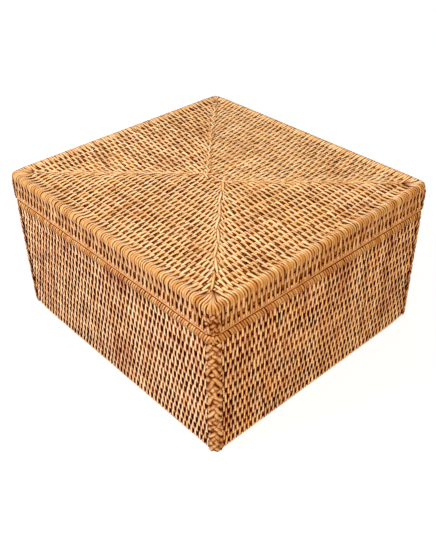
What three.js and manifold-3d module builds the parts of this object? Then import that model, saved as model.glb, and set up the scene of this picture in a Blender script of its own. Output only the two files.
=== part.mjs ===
// A woven cane box with a lift-off lid. Flat cane strips are woven over courses of rattan rod,
// the lid's top is four mitred panels, and the lid sits on a wrapped shoulder round a collar.
// Millimetres, +Z up. X runs along the long sides, and the origin is the middle of the underside.
import * as THREE from 'three';
import { mergeVertices } from 'three/addons/utils/BufferGeometryUtils.js';
import Module from 'manifold-3d';

const wasm = await Module();
wasm.setup();

// Driving sizes of the base
const baseLength = 327;
const baseDepth = 303;
const rodDiameter = 4.4;
const caneCover = 1.0;
const wallRodCount = 14;
const wallRodPitch = 9.7;
const footHeight = 5.5;
const wallHead = 5.4;
const bottomFillet = 2.5;
const innerCornerRadius = 1.0;
const floorThickness = 6;
const rimRodDiameter = 5.4;
const rimHeight = 9.8;
const rimRound = 2.6;
const collarThickness = 2.5;
const collarLap = 30;
const collarRise = 16;
const braidLeg = 10;
const braidThickness = 1.2;
const braidLift = 1.0;

// Driving sizes of the lid
const lidClearance = 1.5;
const lidSeatGap = 0.2;
const edgeRodDiameter = 7;
const edgeProud = 1.0;
const rollRound = 1.0;
const skirtHead = 3.3;
const skirtRodCount = 2;
const skirtRodPitch = 9.8;
const lowerRodDiameter = 3.4;
const lowerRodSpace = 1.4;
const bindingHeight = 1.2;
const spineWidth = 7;
const spineThickness = 0.9;
const spineInset = 4;
const lashingHeight = 12;
const lashingRadius = 5;

// Fits and facets
const fitGap = 0.3;
const seamGap = 0.3;
const rodSides = 6;
const baseCornerSteps = 2;
const lidCornerSteps = 4;

// Sizes that follow from them
const wallThickness = rodDiameter + 2 * caneCover;
const wallCorner = wallThickness + innerCornerRadius;
const halfLength = baseLength / 2;
const halfDepth = baseDepth / 2;
const topRodHeight = footHeight + (wallRodCount - 1) * wallRodPitch;
const wallTop = topRodHeight + wallHead;
const rimWidth = rimRodDiameter + 2 * caneCover;
const rimProud = rimWidth - wallThickness;
const shoulder = wallTop + rimHeight;
const rollWidth = edgeRodDiameter + 2 * caneCover;
const lidCorner = rollWidth + innerCornerRadius;
const lidHalfLength = halfLength + lidClearance;
const lidHalfDepth = halfDepth + lidClearance;
const lidBottom = shoulder + lidSeatGap;
const skirtBottom = lidBottom + bindingHeight;
const lowerRodHeight = skirtBottom + caneCover + lowerRodDiameter / 2;
const firstSkirtRodHeight = lowerRodHeight + lowerRodDiameter / 2 + lowerRodSpace + rodDiameter / 2;
const rollBottom = firstSkirtRodHeight + (skirtRodCount - 1) * skirtRodPitch + skirtHead;
const lidTop = rollBottom + rollWidth;
const panelTop = lidTop - edgeProud;
const panelBottom = panelTop - wallThickness;
const panelHalfLength = lidHalfLength - rollWidth - fitGap;
const panelHalfDepth = lidHalfDepth - rollWidth - fitGap;
const ridgeHalf = Math.abs(panelHalfLength - panelHalfDepth);

// Sides in order of turning: each lies between the corner before it and the corner of its number
const sides = ['right', 'back', 'left', 'front'];
const corners = ['back_right', 'back_left', 'front_left', 'front_right'];
const quarter = Math.PI / 2;

// Finishes
const finish = (color, roughness) => new THREE.MeshStandardMaterial({ color, roughness, metalness: 0 });
const wovenCane = finish(0xd29a5e, 0.55);
const rattanRod = finish(0x9c6a3c, 0.65);
const wrappedCane = finish(0xcf9a52, 0.45);
const braidedCane = finish(0xc98f4e, 0.5);
const paleBinding = finish(0xe2b77c, 0.45);

// Solids and cuts
function welded(geometry) {
  geometry.deleteAttribute('normal');
  geometry.deleteAttribute('uv');
  return mergeVertices(geometry);
}

function solidOf(geometry) {
  const closed = welded(geometry);
  return new wasm.Manifold(new wasm.Mesh({
    numProp: 3,
    vertProperties: new Float32Array(closed.attributes.position.array),
    triVerts: new Uint32Array(closed.index.array),
  }));
}

function geometryOf(solid) {
  const mesh = solid.getMesh();
  const geometry = new THREE.BufferGeometry();
  geometry.setAttribute('position', new THREE.BufferAttribute(mesh.vertProperties, 3));
  geometry.setIndex(new THREE.BufferAttribute(mesh.triVerts, 1));
  return geometry;
}

function bored(geometry, bores) {
  let solid = solidOf(geometry);
  for (const bore of bores) solid = solid.subtract(solidOf(bore));
  return geometryOf(solid);
}

function place(group, name, geometry, material) {
  geometry.computeVertexNormals();
  const mesh = new THREE.Mesh(geometry, material);
  mesh.name = name;
  group.add(mesh);
  return mesh;
}

// A path known by its stops: a sweep along it has one ring at each stop and none between
class StopPath extends THREE.Curve {
  constructor(stops, closed) {
    super();
    this.stops = stops;
    this.spans = closed ? stops.length : stops.length - 1;
  }

  stopAt(share) {
    return this.stops[Math.round(share * this.spans) % this.stops.length];
  }

  getPointAt(share, target = new THREE.Vector3()) {
    return target.copy(this.stopAt(share).point);
  }

  getTangentAt(share, target = new THREE.Vector3()) {
    return target.copy(this.stopAt(share).tangent);
  }
}

// A rounded rectangle round the box, at one height
function outline(halfX, halfY, radius, height = 0) {
  return { halfX, halfY, radius, height };
}

function inset(path, depth, height) {
  return outline(path.halfX - depth, path.halfY - depth, path.radius - depth, height);
}

const wallOutline = outline(halfLength, halfDepth, wallCorner);
const lidOutline = outline(lidHalfLength, lidHalfDepth, lidCorner);

// A point of a rounded rectangle: corner 0 is at +X +Y, and the angle is measured from +X
function cornerStop({ halfX, halfY, radius, height }, corner, angle) {
  const signX = corner === 0 || corner === 3 ? 1 : -1;
  const signY = corner < 2 ? 1 : -1;
  const point = new THREE.Vector3(
    signX * (halfX - radius) + radius * Math.cos(angle),
    signY * (halfY - radius) + radius * Math.sin(angle),
    height,
  );
  const tangent = new THREE.Vector3(-Math.sin(angle), Math.cos(angle), 0);
  return { point, tangent };
}

// A rod bent into a closed hoop along a rounded rectangle
function hoop(path, diameter, cornerSteps) {
  const stops = [];
  for (let corner = 0; corner < 4; corner += 1) {
    for (let step = 0; step <= cornerSteps; step += 1) {
      stops.push(cornerStop(path, corner, (corner + step / cornerSteps) * quarter));
    }
  }
  return new THREE.TubeGeometry(new StopPath(stops, true), stops.length, diameter / 2, rodSides, true);
}

// One side of the box, from the middle of one corner to the middle of the next. The section is a
// list of depths from the outline and heights, and the ends stand back by half of the seam.
function rail(section, path, side, cornerSteps) {
  const halfSteps = cornerSteps / 2;
  const stops = [];
  for (let step = -halfSteps; step <= 0; step += 1) {
    stops.push(cornerStop(path, (side + 3) % 4, (side + step / cornerSteps) * quarter));
  }
  for (let step = 0; step <= halfSteps; step += 1) {
    stops.push(cornerStop(path, side, (side + step / cornerSteps) * quarter));
  }
  const last = stops.length - 1;
  stops[0].point.addScaledVector(stops[0].tangent, seamGap / 2);
  stops[last].point.addScaledVector(stops[last].tangent, -seamGap / 2);
  const shape = new THREE.Shape(section.map(([depth, height]) => new THREE.Vector2(-height, depth)));
  return new THREE.ExtrudeGeometry(shape, {
    steps: last,
    bevelEnabled: false,
    extrudePath: new StopPath(stops, false),
  });
}

// Points of a round corner of a section, about a centre, from one angle to another
function arcPoints(depth, height, radius, fromAngle, toAngle, steps = 3) {
  const points = [];
  for (let step = 0; step <= steps; step += 1) {
    const angle = fromAngle + (toAngle - fromAngle) * step / steps;
    points.push([depth + radius * Math.cos(angle), height + radius * Math.sin(angle)]);
  }
  return points;
}

function boxSection(depth, low, high) {
  return [[0, low], [depth, low], [depth, high], [0, high]];
}

// Base: the walls and the rod courses that run through them
function wallRodPath(course) {
  return inset(wallOutline, wallThickness / 2, footHeight + course * wallRodPitch);
}

function wallSection() {
  return [
    [wallThickness, 0],
    [wallThickness, wallTop],
    [0, wallTop],
    ...arcPoints(bottomFillet, bottomFillet, bottomFillet, 2 * quarter, 3 * quarter),
  ];
}

function addWalls(group) {
  const boreDiameter = rodDiameter + 2 * fitGap;
  const bores = [];
  for (let course = 0; course < wallRodCount; course += 1) {
    const number = String(course + 1).padStart(2, '0');
    const path = wallRodPath(course);
    bores.push(hoop(path, boreDiameter, baseCornerSteps));
    place(group, `wall_rod_${number}`, welded(hoop(path, rodDiameter, baseCornerSteps)), rattanRod);
  }
  sides.forEach((name, side) => {
    const slab = rail(wallSection(), wallOutline, side, baseCornerSteps);
    place(group, `wall_${name}`, bored(slab, bores), wovenCane);
  });
}

// Base: the floor between the walls
function addFloor(group) {
  const clear = 2 * (wallThickness + fitGap);
  const slab = new THREE.BoxGeometry(baseLength - clear, baseDepth - clear, floorThickness);
  slab.translate(0, 0, floorThickness / 2);
  place(group, 'floor_panel', welded(slab), wovenCane);
}

// Base: the wrapped shoulder rim, a bent rod inside four wraps
function addRim(group) {
  const path = outline(halfLength + rimProud, halfDepth + rimProud, wallCorner + rimProud);
  const rodPath = inset(path, rimWidth / 2, wallTop + rimHeight / 2);
  const far = rimWidth - rimRound;
  const low = wallTop + rimRound;
  const high = shoulder - rimRound;
  const section = [
    ...arcPoints(rimRound, low, rimRound, 2 * quarter, 3 * quarter),
    ...arcPoints(far, low, rimRound, 3 * quarter, 4 * quarter),
    ...arcPoints(far, high, rimRound, 0, quarter),
    ...arcPoints(rimRound, high, rimRound, quarter, 2 * quarter),
  ];
  place(group, 'rim_hoop', welded(hoop(rodPath, rimRodDiameter, baseCornerSteps)), rattanRod);
  sides.forEach((name, side) => {
    const bore = hoop(rodPath, rimRodDiameter + 2 * fitGap, baseCornerSteps);
    const wrap = rail(section, path, side, baseCornerSteps);
    place(group, `rim_wrap_${name}`, bored(wrap, [bore]), wrappedCane);
  });
}

// Base: the collar inside the walls, which stands up into the lid and keeps it in place
function addCollar(group) {
  const lidSide = lidCorner - wallThickness - lidClearance;
  const radius = Math.max(lidSide, collarThickness + innerCornerRadius);
  const path = outline(halfLength - wallThickness, halfDepth - wallThickness, radius);
  const section = boxSection(collarThickness, shoulder - collarLap, shoulder + collarRise);
  sides.forEach((name, side) => {
    place(group, `collar_${name}`, welded(rail(section, path, side, lidCornerSteps)), wovenCane);
  });
}

// Base: a braid of cane folded over each upright corner
function addCornerBraids(group) {
  const inner = wallCorner + fitGap;
  const outer = inner + braidThickness;
  const leg = braidLeg - wallCorner;
  const height = wallTop - braidLift - fitGap;
  corners.forEach((name, corner) => {
    const shape = new THREE.Shape();
    shape.moveTo(inner, -leg);
    shape.lineTo(outer, -leg);
    shape.absarc(0, 0, outer, 0, quarter, false);
    shape.lineTo(-leg, outer);
    shape.lineTo(-leg, inner);
    shape.absarc(0, 0, inner, quarter, 0, true);
    const braid = new THREE.ExtrudeGeometry(shape, { depth: height, bevelEnabled: false, curveSegments: 4 });
    const mesh = place(group, `corner_braid_${name}`, welded(braid), braidedCane);
    standAtCorner(mesh, corner, wallOutline, braidLift);
  });
}

// Turns a mesh to a corner, with its own origin at the centre of that corner's round
function standAtCorner(mesh, corner, { halfX, halfY, radius }, height) {
  const signX = corner === 0 || corner === 3 ? 1 : -1;
  const signY = corner < 2 ? 1 : -1;
  mesh.position.set(signX * (halfX - radius), signY * (halfY - radius), height);
  mesh.rotation.z = corner * quarter;
}

// Lid: the rolled edge, a thick bent rod inside four wraps
function addEdge(group) {
  const half = rollWidth / 2;
  const rodPath = inset(lidOutline, half, rollBottom + half);
  const far = rollWidth - rollRound;
  const low = rollBottom + rollRound;
  const section = [
    ...arcPoints(rollRound, low, rollRound, 2 * quarter, 3 * quarter, 1),
    [rollWidth, rollBottom],
    ...arcPoints(far, lidTop - rollRound, rollRound, 0, quarter, 1),
    ...arcPoints(half, lidTop - half, half, quarter, 2 * quarter, 4),
  ];
  place(group, 'edge_hoop', welded(hoop(rodPath, edgeRodDiameter, lidCornerSteps)), rattanRod);
  sides.forEach((name, side) => {
    const bore = hoop(rodPath, edgeRodDiameter + 2 * fitGap, lidCornerSteps);
    const roll = rail(section, lidOutline, side, lidCornerSteps);
    place(group, `edge_roll_${name}`, bored(roll, [bore]), wrappedCane);
  });
}

// Lid: the skirt below the rolled edge, its two rod courses and the thin rod at its foot
function addSkirt(group) {
  const bores = [];
  const addRod = (name, height, diameter) => {
    const path = inset(lidOutline, wallThickness / 2, height);
    bores.push(hoop(path, diameter + 2 * fitGap, lidCornerSteps));
    place(group, name, welded(hoop(path, diameter, lidCornerSteps)), rattanRod);
  };
  for (let course = 0; course < skirtRodCount; course += 1) {
    const number = String(course + 1).padStart(2, '0');
    addRod(`skirt_rod_${number}`, firstSkirtRodHeight + course * skirtRodPitch, rodDiameter);
  }
  addRod('lower_hoop', lowerRodHeight, lowerRodDiameter);
  sides.forEach((name, side) => {
    const slab = rail(boxSection(wallThickness, skirtBottom, rollBottom), lidOutline, side, lidCornerSteps);
    place(group, `skirt_${name}`, bored(slab, bores), wovenCane);
  });
}

// Traces a rounded rectangle in the plane
function trace(shape, { halfX, halfY, radius }) {
  for (let corner = 0; corner < 4; corner += 1) {
    const signX = corner === 0 || corner === 3 ? 1 : -1;
    const signY = corner < 2 ? 1 : -1;
    const start = corner * quarter;
    shape.absarc(signX * (halfX - radius), signY * (halfY - radius), radius, start, start + quarter, false);
  }
  return shape;
}

// Lid: the thin strip that binds the skirt's lower edge
function addBinding(group) {
  const shape = trace(new THREE.Shape(), lidOutline);
  shape.holes.push(trace(new THREE.Path(), inset(lidOutline, wallThickness, 0)));
  const strip = new THREE.ExtrudeGeometry(shape, {
    depth: bindingHeight,
    bevelEnabled: false,
    curveSegments: lidCornerSteps,
  });
  strip.translate(0, 0, lidBottom);
  place(group, 'lid_binding', welded(strip), paleBinding);
}

// Lid: four top panels that meet in mitres, with a short ridge where the box is longer than deep
function addTopPanels(group) {
  const seam = seamGap / 2;
  const slant = seam * Math.SQRT2;
  sides.forEach((name, side) => {
    const alongX = side % 2 === 1;
    const halfSpan = alongX ? panelHalfLength : panelHalfDepth;
    const reach = alongX ? panelHalfDepth : panelHalfLength;
    const flat = halfSpan > reach ? halfSpan - reach - slant + seam : 0;
    const depth = flat > 0 ? reach - seam : halfSpan - slant;
    const shape = new THREE.Shape();
    shape.moveTo(reach, slant - halfSpan);
    shape.lineTo(reach, halfSpan - slant);
    shape.lineTo(reach - depth, flat);
    if (flat > 0) shape.lineTo(reach - depth, -flat);
    const panel = new THREE.ExtrudeGeometry(shape, { depth: wallThickness, bevelEnabled: false });
    const mesh = place(group, `top_panel_${name}`, welded(panel), wovenCane);
    mesh.position.z = panelBottom;
    mesh.rotation.z = side * quarter;
  });
}

// A flat strip of cane with pointed ends, along +X from its own origin
function leafStrip(length) {
  const half = spineWidth / 2;
  const shape = new THREE.Shape();
  shape.moveTo(0, 0);
  shape.lineTo(spineWidth, -half);
  shape.lineTo(length - spineWidth, -half);
  shape.lineTo(length, 0);
  shape.lineTo(length - spineWidth, half);
  shape.lineTo(spineWidth, half);
  return welded(new THREE.ExtrudeGeometry(shape, { depth: spineThickness, bevelEnabled: false }));
}

// Lid: the strips that cover the mitres, and the one along the ridge between them
function addSpines(group) {
  const reach = Math.min(panelHalfLength, panelHalfDepth);
  const ridgeAlongX = panelHalfLength >= panelHalfDepth;
  const ridgeEnd = ridgeHalf + spineWidth;
  const clear = 2 * spineWidth;
  corners.forEach((name, corner) => {
    const signX = corner === 0 || corner === 3 ? 1 : -1;
    const signY = corner < 2 ? 1 : -1;
    const length = (reach - spineInset) * Math.SQRT2 - clear;
    const mesh = place(group, `mitre_spine_${name}`, leafStrip(length), braidedCane);
    mesh.position.set(signX * (panelHalfLength - spineInset), signY * (panelHalfDepth - spineInset), panelTop);
    mesh.rotation.z = Math.atan2(-signY, -signX);
  });
  const ridge = place(group, 'ridge_spine', leafStrip(2 * ridgeEnd), braidedCane);
  ridge.position.set(ridgeAlongX ? -ridgeEnd : 0, ridgeAlongX ? 0 : -ridgeEnd, panelTop);
  ridge.rotation.z = ridgeAlongX ? 0 : quarter;
}

// Lid: a lashing that fills out each rounded corner of the skirt
function addLashings(group) {
  const inner = lidCorner + fitGap;
  const shift = lidCorner - lashingRadius;
  const tip = Math.acos(lidCorner / inner);
  corners.forEach((name, corner) => {
    const shape = new THREE.Shape();
    shape.moveTo(lidCorner, inner * Math.sin(tip));
    shape.absarc(shift, shift, lashingRadius, 0, quarter, false);
    shape.lineTo(inner * Math.sin(tip), lidCorner);
    shape.absarc(0, 0, inner, quarter - tip, tip, true);
    const lashing = new THREE.ExtrudeGeometry(shape, {
      depth: lashingHeight,
      bevelEnabled: false,
      curveSegments: lidCornerSteps,
    });
    const mesh = place(group, `corner_lashing_${name}`, welded(lashing), braidedCane);
    standAtCorner(mesh, corner, lidOutline, (skirtBottom + rollBottom - lashingHeight) / 2);
  });
}

const base = new THREE.Group();
addFloor(base);
addWalls(base);
addRim(base);
addCollar(base);
addCornerBraids(base);

const lid = new THREE.Group();
addEdge(lid);
addSkirt(lid);
addBinding(lid);
addTopPanels(lid);
addSpines(lid);
addLashings(lid);

const wovenBox = new THREE.Group();
wovenBox.add(base, lid);

export default wovenBox;
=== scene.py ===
"""A woven cane box with a lift-off lid: split cane strips that pass over and under bent rods."""
import math

import bpy
from mathutils import Matrix, Vector


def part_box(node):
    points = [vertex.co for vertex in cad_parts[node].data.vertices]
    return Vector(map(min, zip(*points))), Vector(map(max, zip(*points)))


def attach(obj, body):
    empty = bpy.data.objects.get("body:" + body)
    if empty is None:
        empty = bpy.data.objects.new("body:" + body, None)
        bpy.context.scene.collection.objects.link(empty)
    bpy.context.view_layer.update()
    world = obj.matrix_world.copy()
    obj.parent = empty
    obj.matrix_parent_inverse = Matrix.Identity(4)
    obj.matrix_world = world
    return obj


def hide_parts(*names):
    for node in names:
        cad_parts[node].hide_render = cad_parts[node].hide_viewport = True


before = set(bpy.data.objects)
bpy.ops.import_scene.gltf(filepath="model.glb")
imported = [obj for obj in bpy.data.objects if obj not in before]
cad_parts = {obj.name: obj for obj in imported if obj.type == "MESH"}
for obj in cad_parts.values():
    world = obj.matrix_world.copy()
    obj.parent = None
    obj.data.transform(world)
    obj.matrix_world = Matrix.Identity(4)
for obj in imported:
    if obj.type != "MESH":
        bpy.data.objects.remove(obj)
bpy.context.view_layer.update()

MM = 0.001
QUARTER = math.pi / 2
SIDES = ("front", "right", "back", "left")
CORNERS = ("front_right", "back_right", "back_left", "front_left")

# Sizes of the solids that the cane follows
BASE_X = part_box("wall_right")[1][0]
BASE_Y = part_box("wall_back")[1][1]
LID_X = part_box("edge_roll_right")[1][0]
LID_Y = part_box("edge_roll_back")[1][1]
LID_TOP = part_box("edge_roll_front")[1][2]
LID_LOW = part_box("lid_binding")[0][2]
FIELD_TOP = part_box("top_panel_front")[1][2]
PANEL_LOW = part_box("top_panel_front")[0][2]
RIM_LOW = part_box("rim_wrap_front")[0][2]
RIM_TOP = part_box("rim_wrap_front")[1][2]
COLLAR_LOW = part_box("collar_front")[0][2]
COLLAR_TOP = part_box("collar_front")[1][2]
COLLAR_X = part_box("collar_right")[1][0]
COLLAR_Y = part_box("collar_back")[1][1]
FLOOR_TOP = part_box("floor_panel")[1][2]


def middle(node):
    """Height of the middle of a solid."""
    low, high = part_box(node)
    return (low[2] + high[2]) / 2


ROD_COUNT = 14
ROD_FIRST = middle("wall_rod_01")
ROD_PITCH = (middle(f"wall_rod_{ROD_COUNT}") - ROD_FIRST) / (ROD_COUNT - 1)

# The flat skirt rods lie in the lower and the upper half of the round solids
SKIRT_SPREAD = 1.1 * MM
SKIRT_FIRST = middle("skirt_rod_01") - SKIRT_SPREAD
SKIRT_PITCH = middle("skirt_rod_02") + SKIRT_SPREAD - SKIRT_FIRST
SKIRT_RODS = 2
LOWER_ROD = middle("lower_hoop")

# Strips of cane: on the lid, on the walls, in the linings, and on the floor and the collar
STRIP_PITCH = 3.03 * MM
STRIP_WIDTH = 2.98 * MM
STRIP_THICK = 0.5 * MM
HALF_THICK = STRIP_THICK / 2
WALL_PITCH = 2.92 * MM
LINING_PITCH = 4.6 * MM
LINING_WIDTH = 5.6 * MM
INNER_PITCH = 4.4 * MM
INNER_WIDTH = 4.6 * MM

# How far a strip swings past a rod, and the flat rod that lies between its two sides
SWING = 0.6 * MM
ROD_DEPTH = HALF_THICK + SWING
ROD_HALF_DEEP = SWING - HALF_THICK
ROD_HALF_TALL = 0.9 * MM

# A first rod so far along that no strip reaches it
NO_ROD = 1.0

# How far a rod strays from its level
WALL_WANDER = 1.2 * MM
LID_WANDER = 1.8 * MM

# Rounded corners and bends
BASE_CORNER = 7.4 * MM
LID_CORNER = 10.0 * MM
COLLAR_CORNER = 3.0 * MM
SHARP = 0.2 * MM
FOOT_RADIUS = 2.0 * MM
RIM_RADIUS = 4.2 * MM
LID_ROLL = 4.0 * MM

# The lid's top: its first rod in from the edge, the next ones, and how far in the corner strips gather
TOP_FIRST = 13.4 * MM
TOP_PITCH = 9.7 * MM
GATHER = 20.0 * MM

# Two corners of the base stand off the ground: how far, from what share of the way there, and up to where
BASE_BOW = 5.0 * MM
BOW_FROM = 0.72
BOW_TALL = 60.0 * MM

# The floor reaches into the walls
FLOOR_INSET = 6.0 * MM
FLOOR_X = BASE_X - FLOOR_INSET
FLOOR_Y = BASE_Y - FLOOR_INSET

# Half sizes and corner radius of what strips and rods go round, and the body that each moves with
OUTLINES = {
    "base": (BASE_X, BASE_Y, BASE_CORNER),
    "floor": (FLOOR_X, FLOOR_Y, SHARP),
    "collar": (COLLAR_X, COLLAR_Y, COLLAR_CORNER),
    "lid": (LID_X, LID_Y, LID_CORNER),
}
BODIES = {"base": "base", "floor": "base", "collar": "base", "lid": "lid"}

# What differs from side to side, in the order of SIDES.
# Which edge of a strip and which side of a top rod has the wider hole
GAP_SIDE = (-1.0, 1.0, 1.0, -1.0)
NEAR_SIDE = (-1.0, -1.0, 1.0, 1.0)
# Width of the wall's strips, how much wider they are over a rod, and their share of it on the rim
WALL_WIDTHS = (2.88 * MM, 2.62 * MM, 2.84 * MM, 2.88 * MM)
WALL_WIDEN = (0.1, 0.2, 0.1, 0.1)
WALL_PLAIN = (1.0, 1.13, 1.02, 1.0)
# How far a strip steps aside while it swings in
WALL_COUNTER = (0.5, 1.5, 0.6, 0.6)
SKIRT_COUNTER = (0.1, 1.0, 0.6, 0.6)
TOP_COUNTER = (0.3, 0.2, 0.5, 0.2)
# How deep the shade in the holes is
WALL_SHADE = (1.0, 0.86, 0.9, 1.0)
TOP_SHADE = (1.12, 1.06, 0.25, 1.18)


class Wire:
    """One value of a node tree, with the arithmetic that nodes can do on it."""

    def __init__(self, tree, socket):
        self.tree = tree
        self.socket = socket

    def math(self, operation, *values):
        return self.tree.math(operation, self, *values)

    def __add__(self, other):
        return self.math("ADD", other)

    def __radd__(self, other):
        return self.tree.math("ADD", other, self)

    def __sub__(self, other):
        return self.math("SUBTRACT", other)

    def __rsub__(self, other):
        return self.tree.math("SUBTRACT", other, self)

    def __mul__(self, other):
        return self.math("MULTIPLY", other)

    def __rmul__(self, other):
        return self.tree.math("MULTIPLY", other, self)

    def __truediv__(self, other):
        return self.math("DIVIDE", other)

    def __rtruediv__(self, other):
        return self.tree.math("DIVIDE", other, self)

    def __pow__(self, other):
        return self.math("POWER", other)

    def __mod__(self, other):
        return self.math("MODULO", other)

    def __neg__(self):
        return self * -1.0

    def __gt__(self, other):
        return self.math("GREATER_THAN", other)

    def sin(self):
        return self.math("SINE")

    def cos(self):
        return self.math("COSINE")

    def exp(self):
        return self.math("EXPONENT")

    def size(self):
        return self.math("ABSOLUTE")

    def sign(self):
        return self.math("SIGN")

    def least(self, other):
        return self.math("MINIMUM", other)

    def most(self, other):
        return self.math("MAXIMUM", other)

    def within(self, low, high):
        return self.most(low).least(high)

    def ease(self):
        """0 below 0, 1 above 1 and a smooth step between."""
        return 0.5 - (self.within(0.0, 1.0) * math.pi).cos() * 0.5

    def mix(self, other, share):
        """This value where share is 0 and the other where it is 1."""
        return self + (other - self) * share


class Tree:
    """A node tree that is written as sums and calls."""

    def __init__(self, tree):
        self.tree = tree

    def link(self, value, socket):
        if isinstance(value, Wire):
            self.tree.links.new(value.socket, socket)
        else:
            socket.default_value = value

    def math(self, operation, *values):
        node = self.tree.nodes.new("ShaderNodeMath")
        node.operation = operation
        for value, socket in zip(values, node.inputs):
            self.link(value, socket)
        return Wire(self, node.outputs[0])

    def add(self, kind, sockets=None, settings=None, output=0):
        """Any other node: its type, its sockets' values or links, its settings, and the output in use."""
        node = self.tree.nodes.new(kind)
        for name, value in (settings or {}).items():
            setattr(node, name, value)
        for name, value in (sockets or {}).items():
            open_sockets = [socket for socket in node.inputs if socket.enabled]
            if isinstance(name, str):
                open_sockets = [socket for socket in open_sockets if socket.name == name]
                self.link(value, open_sockets[0])
            else:
                self.link(value, open_sockets[name])
        outputs = [socket for socket in node.outputs if socket.enabled]
        if isinstance(output, str):
            outputs = [socket for socket in outputs if socket.name == output]
            output = 0
        return Wire(self, outputs[output])

    def vector(self, x, y, z):
        return self.add("ShaderNodeCombineXYZ", {"X": x, "Y": y, "Z": z})

    def parts(self, vector):
        node = self.tree.nodes.new("ShaderNodeSeparateXYZ")
        self.link(vector, node.inputs[0])
        return [Wire(self, socket) for socket in node.outputs]

    def noise(self, vector, scale, detail=2.0, roughness=0.5):
        sockets = {"Vector": vector, "Scale": scale, "Detail": detail, "Roughness": roughness}
        return self.add("ShaderNodeTexNoise", sockets, output="Fac")


class Shape(Tree):
    """A geometry tree with named inputs, which makes one mesh."""

    KINDS = {int: "NodeSocketInt", float: "NodeSocketFloat"}
    # Points nearer than this become one
    WELD = 0.008 * MM
    # A strand's section: a hexagon, its half height, and the power that squares it
    SECTION_POINTS = 6
    SECTION_HALF = 0.866
    SECTION_SQUARE = 0.7

    def __init__(self, name, inputs):
        super().__init__(bpy.data.node_groups.new(name, "GeometryNodeTree"))
        self.tree.is_modifier = True
        face = self.tree.interface
        self.names = {}
        for title, value in inputs.items():
            socket = face.new_socket(title, in_out="INPUT", socket_type=self.KINDS[type(value)])
            socket.default_value = value
            self.names[title] = socket.identifier
        socket = face.new_socket("Material", in_out="INPUT", socket_type="NodeSocketMaterial")
        self.names["Material"] = socket.identifier
        face.new_socket("Geometry", in_out="OUTPUT", socket_type="NodeSocketGeometry")
        self.inlet = self.tree.nodes.new("NodeGroupInput")

    def __getitem__(self, title):
        return Wire(self, self.inlet.outputs[title])

    def chance(self, low, high, index, salt):
        """A value for each index between low and high, the same on each run."""
        sockets = {"Min": low, "Max": high, "ID": index, "Seed": self["Seed"] + salt}
        return self.add("FunctionNodeRandomValue", sockets, {"data_type": "FLOAT"})

    def strands(self, count, rings):
        """Straight strands of a flat, squared section.

        Gives their mesh and, for each point, its strand's number, its place across and through the
        strand from -1 to 1, and its place along it from 0 to 1.
        """
        sockets = {"Vertices": self.SECTION_POINTS, "Side Segments": rings, "Radius": 1.0, "Depth": 1.0}
        strand = self.add("GeometryNodeMeshCylinder", sockets, {"fill_type": "NGON"}, "Mesh")
        points = self.add("GeometryNodePoints", {"Count": count})
        many = self.add("GeometryNodeInstanceOnPoints", {"Points": points, "Instance": strand})
        many = self.keep(many, "strip", self.add("GeometryNodeInputIndex"), "INSTANCE")
        mesh = self.add("GeometryNodeRealizeInstances", {"Geometry": many})
        number = self.add("GeometryNodeInputNamedAttribute", {"Name": "strip"}, {"data_type": "FLOAT"})
        x, y, z = self.parts(self.add("GeometryNodeInputPosition"))
        across = x.sign() * x.size() ** self.SECTION_SQUARE
        return mesh, number, across, y / self.SECTION_HALF, z + 0.5

    def keep(self, geometry, name, value, domain="POINT"):
        sockets = {"Geometry": geometry, "Name": name, "Value": value}
        settings = {"data_type": "FLOAT", "domain": domain}
        return self.add("GeometryNodeStoreNamedAttribute", sockets, settings)

    def keep_all(self, geometry, **values):
        """Keeps each value on the points, for the finish to read."""
        for name, value in values.items():
            geometry = self.keep(geometry, name, value)
        return geometry

    def place(self, geometry, position):
        return self.add("GeometryNodeSetPosition", {"Geometry": geometry, "Position": position})

    def turned(self, vector, angle):
        sockets = {"Vector": vector, "Angle": angle}
        return self.add("ShaderNodeVectorRotate", sockets, {"rotation_type": "Z_AXIS"})

    def close(self, geometry):
        """Ends the tree: real geometry, smooth faces and the material."""
        geometry = self.add("GeometryNodeRealizeInstances", {"Geometry": geometry})
        geometry = self.add("GeometryNodeMergeByDistance", {"Geometry": geometry, "Distance": self.WELD})
        geometry = self.add("GeometryNodeSetShadeSmooth", {"Geometry": geometry})
        geometry = self.add("GeometryNodeSetMaterial", {"Geometry": geometry, "Material": self["Material"]})
        outlet = self.tree.nodes.new("NodeGroupOutput")
        self.link(geometry, outlet.inputs[0])

    def piece(self, name, material, **values):
        """A plain mesh object made by this tree with these inputs."""
        holder = bpy.data.objects.new(name, bpy.data.meshes.new(name))
        bpy.context.scene.collection.objects.link(holder)
        modifier = holder.modifiers.new("make", "NODES")
        modifier.node_group = self.tree
        modifier[self.names["Material"]] = material
        for title, value in values.items():
            modifier[self.names[title.replace("_", " ")]] = value
        graph = bpy.context.evaluated_depsgraph_get()
        mesh = bpy.data.meshes.new_from_object(holder.evaluated_get(graph))
        holder.modifiers.clear()
        holder.data = mesh
        mesh.name = name
        return holder

    def wander(self, place):
        """How far a rod strays from its level at a place."""
        x, y, z = self.parts(place)
        return (self.noise(self.vector(x, y, z * 2.6), 13.0, 1.0) - 0.5) * self["Wander"] * 4.0

    def bowed(self, place):
        """Lifts the foot of the front left and the back right corner, as on the real base."""
        x, y, z = self.parts(place)
        near = ((x * y / (BASE_X * BASE_Y) - BOW_FROM) / (1.0 - BOW_FROM)).within(0.0, 1.0)
        low = 1.0 - (z / BOW_TALL).ease()
        return self.vector(x, y, z + near * near * low * self["Bow"])


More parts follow.
